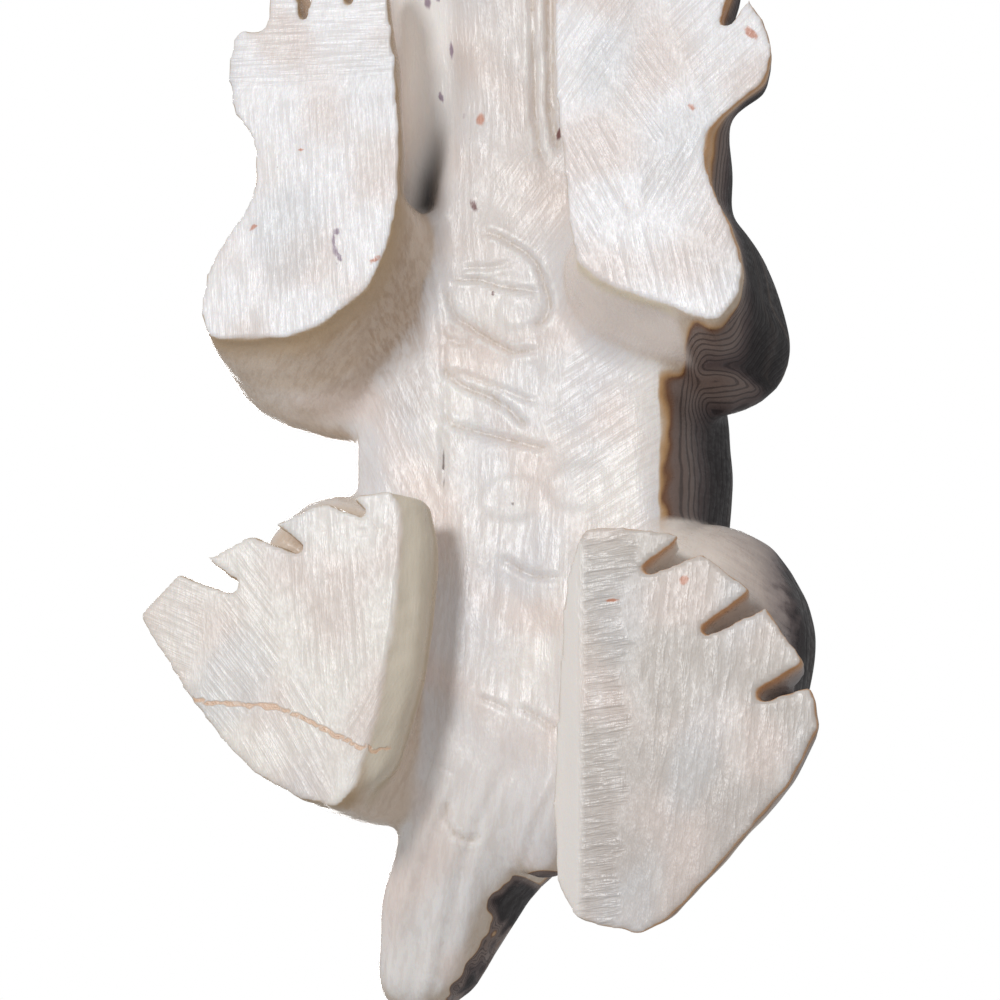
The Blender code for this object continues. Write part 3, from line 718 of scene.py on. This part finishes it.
# Stains: x, y, width, length and turn in degrees on the sheet
STAINS = {
    "red": (
        (2.3, -24.9, 0.42, 1.10, -20),
        (-3.3, -20.7, 0.46, 0.95, 25),
        (-3.0, -20.3, 0.5, 0.20, 10),
        (-2.0, -14.8, 0.30, 0.30, 0),
        (-13.2, -19.5, 0.30, 0.24, 0),
        (-9.9, -16.0, 0.16, 0.5, -10),
    ),
    "orange": (
        (-2.8, -26.4, 0.60, 0.95, 0),
        (2.3, -23.5, 0.25, 0.30, 0),
        (2.8, -24.1, 0.25, 0.35, 0),
        (-16.1, -18.8, 0.80, 0.30, 30),
        (-8.1, -15.9, 0.90, 0.36, 30),
        (11.3, 5.7, 0.60, 0.60, 0),
        (6.9, 6.6, 0.9, 0.22, 0),
        (15.9, -28.1, 1.1, 0.5, -50),
        (12.2, -23.7, 0.8, 0.4, -40),
        (-13.0, -23.6, 0.5, 0.3, 10),
    ),
    "purple": (
        (-10.7, -17.0, 0.30, 1.70, 8),
        (-10.35, -16.1, 0.24, 0.90, -28),
        (-10.6, -18.0, 0.5, 0.5, 0),
        (-6.4, -34.6, 0.50, 1.00, 0),
        (-5.6, -34.9, 0.35, 0.70, 0),
        (-4.8, -31.2, 0.34, 1.10, 0),
        (-5.6, -28.3, 0.30, 0.90, 20),
        (-3.9, -26.8, 0.24, 0.6, 0),
    ),
    "dark": (
        (6.4, -5.5, 0.34, 0.16, 10),
        (-0.8, -1.1, 0.20, 0.20, 0),
        (-1.9, 0.3, 0.16, 0.16, 0),
        (-17.3, -8.0, 0.20, 0.20, 0),
        (-2.6, -22.4, 0.14, 0.14, 0),
        (-5.35, -4.0, 0.18, 3.2, 0),
        (-0.4, -18.4, 0.12, 0.5, -60),
        (-14.6, -22.6, 0.16, 0.16, 0),
        (-3.6, -25.2, 0.12, 0.3, 10),
    ),
}

# Each kind of stain's colour and how strongly it covers
STAIN_TINTS = (
    ("red", tone(104, 34, 30), 0.85),
    ("orange", tone(200, 112, 62), 0.75),
    ("purple", tone(104, 58, 106), 0.7),
    ("dark", tone(84, 54, 44), 0.7),
)

# The crack across the left foot and its bevel, its half width, and how high it reaches
CRACK = (
    (-19.9, 10.9), (-18.6, 11.3), (-17.1, 11.4), (-14.8, 11.7), (-14.1, 11.8), (-12.5, 12.5), (-10.6, 13.6),
    (-9.4, 14.2), (-8.6, 14.7), (-7.0, 14.6),
)
CRACK_HALF_WIDTH = 0.13
CRACK_REACH_MM = 2.5

# Heights of the finest marks, in millimetres: file marks, how much more they are on the soles and on
# the chatter strip, the grain, the thin bands and the crack
FILE_MARKS, SOLE_MARKS, STRIP_MARKS = 0.036, 0.016, 0.06
GRAIN_HEIGHT, BAND_HEIGHT, CRACK_DEPTH = 0.030, -0.02, 0.04

# The stone's surface: roughness where the marks are low and high, how much rougher the dark beds are,
# how much it mirrors, and how light spreads in it
ROUGH_LOW, ROUGH_HIGH, ROUGHER_BEDS, MIRRORING = 0.40, 0.26, 0.2, 0.38
GLOW_SHARE, GLOW_COLOURS, GLOW_DEPTH = 0.12, (1.0, 0.72, 0.5), 0.0008


def bed_colours(bench, bed):
    """The beds' colours, with thin dark bands above the amber line: a sine's upper half across them."""
    rings = bench.wave(bench.times(bench.field("band"), math.tau / BAND_WIDTH_MM))
    bands = bench.times(bench.step(rings, 0.1, 1.0), bench.step(bed, 0.2, 0.6))
    return bench.tint(bench.ramp(bed, BEDS), bands, 0.55, tone(28, 22, 24)), bands


def thigh_colours(bench, thigh, marks):
    """The right thigh's colours, with fine streaks."""
    return bench.ramp(bench.sum(thigh, bench.times(bench.less(marks, 0.5), 3.0)), THIGH)


def belly_colours(bench, marks):
    """Cream with cool grey and pink clouds, and pale and dark lines along the tool marks."""
    colour = bench.blend(bench.field("cool"), tone(250, 245, 241), tone(232, 230, 232))
    colour = bench.blend(bench.step(bench.field("warm"), 0.4, 0.95, 0.0, 0.75), colour, tone(240, 224, 216))
    return bench.blend(bench.step(marks, 0.40, 0.56, 0.20, 0.0), colour, tone(204, 188, 178))


def sole_colours(bench, x, y, marks):
    """Filed white: cool at the head, warm at the tail and greyer on the right foot."""
    tail = bench.step(y, -14.0, 8.0)
    colour = bench.blend(tail, tone(252, 250, 252), tone(242, 236, 229))
    right_foot = bench.times(tail, bench.step(x, -2.0, 8.0))
    colour = bench.blend(right_foot, colour, tone(207, 199, 192))
    heel = bench.times(right_foot, bench.step(y, 10.0, 24.0, 0.0, 0.5))
    colour = bench.blend(heel, colour, tone(196, 186, 182))
    colour = bench.blend(bench.step(bench.field("warm"), 0.35, 0.95, 0.0, 0.65), colour, tone(230, 214, 206))
    colour = bench.blend(bench.step(bench.field("cool"), 0.5, 1.0, 0.0, 0.45), colour, tone(214, 216, 219))
    colour = bench.blend(bench.step(bench.field("pale"), 0.6, 1.0, 0.0, 0.3), colour, tone(250, 246, 243))
    return bench.blend(bench.step(marks, 0.40, 0.55, 0.20, 0.0), colour, tone(188, 176, 166))


def body_colours(bench, bed, y, marks):
    """The beds under the cream of the belly and throat, and the right thigh's own colours. Gives the
    thin bands too.
    """
    colour, bands = bed_colours(bench, bed)
    cream = bench.step(bed, -0.5, 0.0, 1.0, 0.0)
    colour = bench.tint(colour, bench.step(marks, 0.32, 0.62, 0.24, 0.0), cream, tone(176, 148, 120))
    throat = bench.step(y, -20.0, -8.0, 0.4, 0.0)
    under = bench.blend(throat, belly_colours(bench, marks), tone(218, 209, 204))
    colour = bench.tint(colour, bench.field("below"), bench.step(bed, -0.7, -0.3, 1.0, 0.0), under)
    thigh = thigh_colours(bench, bench.field("thigh"), marks)
    return bench.blend(bench.field("on_thigh"), colour, thigh), bands


def wall_colours(bench, colour, y, z, marks):
    """The zones' tints: pale arm, the throat's side lifted nearly white, partly painted light against the
    hand's shadow, scratched wall, greenish slope with a painted shadow on its top edge, ochre and amber rims.
    """
    colour = bench.tint(colour, bench.field("arm"), 0.75, tone(246, 236, 231))
    colour = bench.tint(colour, bench.field("arm_rim"), 0.6, tone(236, 222, 190))
    streaks = bench.step(marks, 0.30, 0.66, 0.65, 0.35)
    colour = bench.tint(colour, bench.field("wall"), streaks, tone(172, 144, 118))
    # Pale cream stone on the throat's side, lifted nearly white as painted light against the left hand's
    # shadow
    colour = bench.tint(colour, bench.field("pale_lit_neck"), 0.8, tone(253, 251, 250))
    slope = bench.field("slope")
    colour = bench.tint(colour, slope, 0.85, tone(221, 211, 193))
    # Painted shadow: a darker tan band along the slope's top edge
    colour = bench.tint(colour, bench.times(bench.step(z, 1.5, 2.4), slope), 0.7, tone(184, 164, 130))
    colour = bench.tint(colour, bench.field("ochre"), 0.75, tone(186, 156, 116))
    amber = bench.field("amber")
    colour = bench.tint(colour, amber, 0.85, tone(214, 160, 104))
    rim = bench.times(bench.step(y, 12.0, 15.0), bench.step(z, 0.25, 0.5))
    return bench.tint(colour, bench.times(rim, amber), 0.7, tone(84, 50, 36))


def cut_colours(bench, colour, grain, line):
    """Painted shade in the strokes and sole cuts and a painted highlight on the strokes' lips, both broken up
    by the grain; then painted shade in the hollow by the throat, the stains, and the crack with its brown
    core.
    """
    broken = bench.step(grain, 0.35, 0.60, 0.15, 1.0)
    # Painted shade: the strokes and sole cuts are tinted darker tan by their depth
    cut = bench.step(bench.field("groove_shade"), 0.02, 0.12, 0.0, 0.45)
    colour = bench.tint(colour, cut, broken, tone(198, 178, 154))
    # Painted highlight: the strokes' raised lips are tinted nearly white
    lip = bench.step(bench.field("lip"), 0.012, 0.035, 0.0, 0.6)
    colour = bench.tint(colour, lip, broken, tone(255, 253, 250))
    # Painted shade: the hollow by the throat is tinted near black, most at its deep end
    colour = bench.tint(colour, bench.field("hollow"), 0.95, tone(50, 42, 39))
    for name, tint, strength in STAIN_TINTS:
        colour = bench.blend(bench.step(bench.field(name), 0.40, 0.72, 0.0, strength), colour, tint)
    colour = bench.tint(colour, line, 0.9, tone(232, 196, 166))
    core = bench.step(bench.field("crack"), 1 - 0.5 * CRACK_HALF_WIDTH, 1.0)
    return bench.tint(colour, core, 0.6, tone(160, 104, 78))


def banded_stone():
    """Cream stone under darker beds, filed white on its soles, polished above."""
    material = bpy.data.materials.new("banded_stone")
    material.use_nodes = True
    tree = material.node_tree
    surface = tree.nodes["Principled BSDF"]
    bench = Bench(tree)

    here = bench.add("ShaderNodeTexCoord", {}, output="Object")
    sheet = bench.move(bench.stretch(here, (1000, 1000, 1000)), (*MIDDLE_MM, 0))
    x, y, z = bench.add("ShaderNodeSeparateXYZ", {0: sheet}).node.outputs
    bed, sole, strip = bench.field("bed"), bench.field("sole"), bench.field("strip")

    # The marks swing about 0 along their lines, more on the chatter strip, and with the grain they
    # make a shade about 0.5
    lines = bench.add("ShaderNodeCombineXYZ", {0: bench.field("across"), 1: bench.field("along"), 2: z})
    grain = bench.cloud(bench.stretch(sheet, (4.2, 1.4, 2.4)), 1.0, 2.0, 0.6)
    swing = bench.times(bench.less(bench.cloud(lines, 1.35, 2.5, 0.62), 0.5), bench.field("calm"))
    swing = bench.sum(swing, bench.times(swing, bench.times(strip, 1.2)))
    marks = bench.sum(bench.sum(swing, 0.3), bench.times(grain, 0.4))

    colour, bands = body_colours(bench, bed, y, marks)
    colour = wall_colours(bench, colour, y, z, marks)
    colour = bench.blend(sole, colour, sole_colours(bench, x, y, marks))
    colour = bench.tint(colour, bench.field("planed"), 0.8, tone(246, 240, 235))
    line = bench.step(bench.field("crack"), 1 - 1.6 * CRACK_HALF_WIDTH, 1 - 0.7 * CRACK_HALF_WIDTH)
    tree.links.new(cut_colours(bench, colour, grain, line), surface.inputs["Base Color"])

    rough = bench.step(marks, 0.35, 0.65, ROUGH_LOW, ROUGH_HIGH)
    rough = bench.sum(rough, bench.step(bed, 0.0, 3.0, 0.0, ROUGHER_BEDS))
    tree.links.new(rough, surface.inputs["Roughness"])
    height = bench.times(swing, bench.sum(bench.times(sole, SOLE_MARKS), FILE_MARKS))
    height = bench.sum(height, bench.times(bench.times(strip, swing), STRIP_MARKS))
    height = bench.sum(height, bench.times(bands, BAND_HEIGHT))
    height = bench.sum(height, bench.times(grain, GRAIN_HEIGHT))
    height = bench.less(height, bench.times(line, CRACK_DEPTH))
    bump = bench.add("ShaderNodeBump", {"Height": height, "Distance": MM, "Strength": 1.0})
    tree.links.new(bump, surface.inputs["Normal"])
    surface.inputs["Specular IOR Level"].default_value = MIRRORING
    surface.inputs["Subsurface Weight"].default_value = GLOW_SHARE
    surface.inputs["Subsurface Radius"].default_value = GLOW_COLOURS
    surface.inputs["Subsurface Scale"].default_value = GLOW_DEPTH
    return material


def photograph_camera():
    """Looks up at the underside, with the head at the top of the picture."""
    away = Vector((LEAN_X, LEAN_Y, -1)).normalized()
    top = Vector((0, -1, 0))
    top = (top - away * top.dot(away)).normalized()
    side = top.cross(away)
    centre = Vector((-MIDDLE_MM[0], -MIDDLE_MM[1], 0)) * MM
    data = bpy.data.cameras.new("camera")
    data.sensor_width = SENSOR_MM
    data.lens = SENSOR_MM * CAMERA_DISTANCE_MM / PICTURE_WIDTH_MM
    data.clip_start, data.clip_end = 0.01, 20
    camera = bpy.data.objects.new("camera", data)
    turn = Matrix((side, top, away)).transposed().to_4x4()
    camera.matrix_world = Matrix.Translation(centre + away * CAMERA_DISTANCE_MM * MM) @ turn
    bpy.context.scene.collection.objects.link(camera)
    bpy.context.scene.camera = camera


def soft_lamp(name, place, width, power):
    """A round lamp that points at the carving."""
    data = bpy.data.lights.new(name, "AREA")
    data.shape, data.size, data.energy = "DISK", width, power
    lamp = bpy.data.objects.new(name, data)
    lamp.location = place
    lamp.rotation_mode = "QUATERNION"
    lamp.rotation_quaternion = (Vector(LAMPS_AIM) - Vector(place)).to_track_quat("-Z", "Y")
    bpy.context.scene.collection.objects.link(lamp)


def pale_floor():
    """A pale floor under the soles, seen from above and clear from below."""
    mesh = bpy.data.meshes.new("floor")
    reach, under = 0.9, -2e-5
    corners = [(-reach, -reach, under), (reach, -reach, under), (reach, reach, under), (-reach, reach, under)]
    mesh.from_pydata(corners, [], [(0, 1, 2, 3)])
    floor = bpy.data.objects.new("floor", mesh)
    bpy.context.scene.collection.objects.link(floor)
    material = bpy.data.materials.new("pale_floor")
    material.use_nodes = True
    tree = material.node_tree
    surface = tree.nodes["Principled BSDF"]
    surface.inputs["Base Color"].default_value = tone(232, 230, 227)
    surface.inputs["Roughness"].default_value = 0.7
    bench = Bench(tree)
    clear = bench.add("ShaderNodeBsdfTransparent", {})
    back = bench.add("ShaderNodeNewGeometry", {}, output="Backfacing")
    mixed = bench.add("ShaderNodeMixShader", {0: back, 1: surface.outputs[0], 2: clear})
    tree.links.new(mixed, tree.nodes["Material Output"].inputs["Surface"])
    mesh.materials.append(material)
    floor.visible_shadow = floor.visible_diffuse = False
    floor.visible_glossy = floor.visible_transmission = False


def studio():
    """A white room with one soft lamp below at the picture's upper left, and one above the back."""
    scene = bpy.context.scene
    scene.view_settings.view_transform = "Standard"
    world = bpy.data.worlds.new("room")
    world.use_nodes = True
    bench = Bench(world.node_tree)
    seen = bench.add("ShaderNodeLightPath", {}, output="Is Camera Ray")
    sky = world.node_tree.nodes["Background"]
    sky.inputs["Color"].default_value = (1, 1, 1, 1)
    world.node_tree.links.new(bench.step(seen, 0, 1, ROOM_LIGHT, 1.0), sky.inputs["Strength"])
    scene.world = world
    soft_lamp("key", *KEY_LAMP)
    soft_lamp("overhead", *OVERHEAD_LAMP)


photograph_camera()
pale_floor()
studio()
carving = carved_stone(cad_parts["reptile_carving"])
carving.data.materials.clear()
carving.data.materials.append(banded_stone())
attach(carving, "root")
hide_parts("reptile_carving")
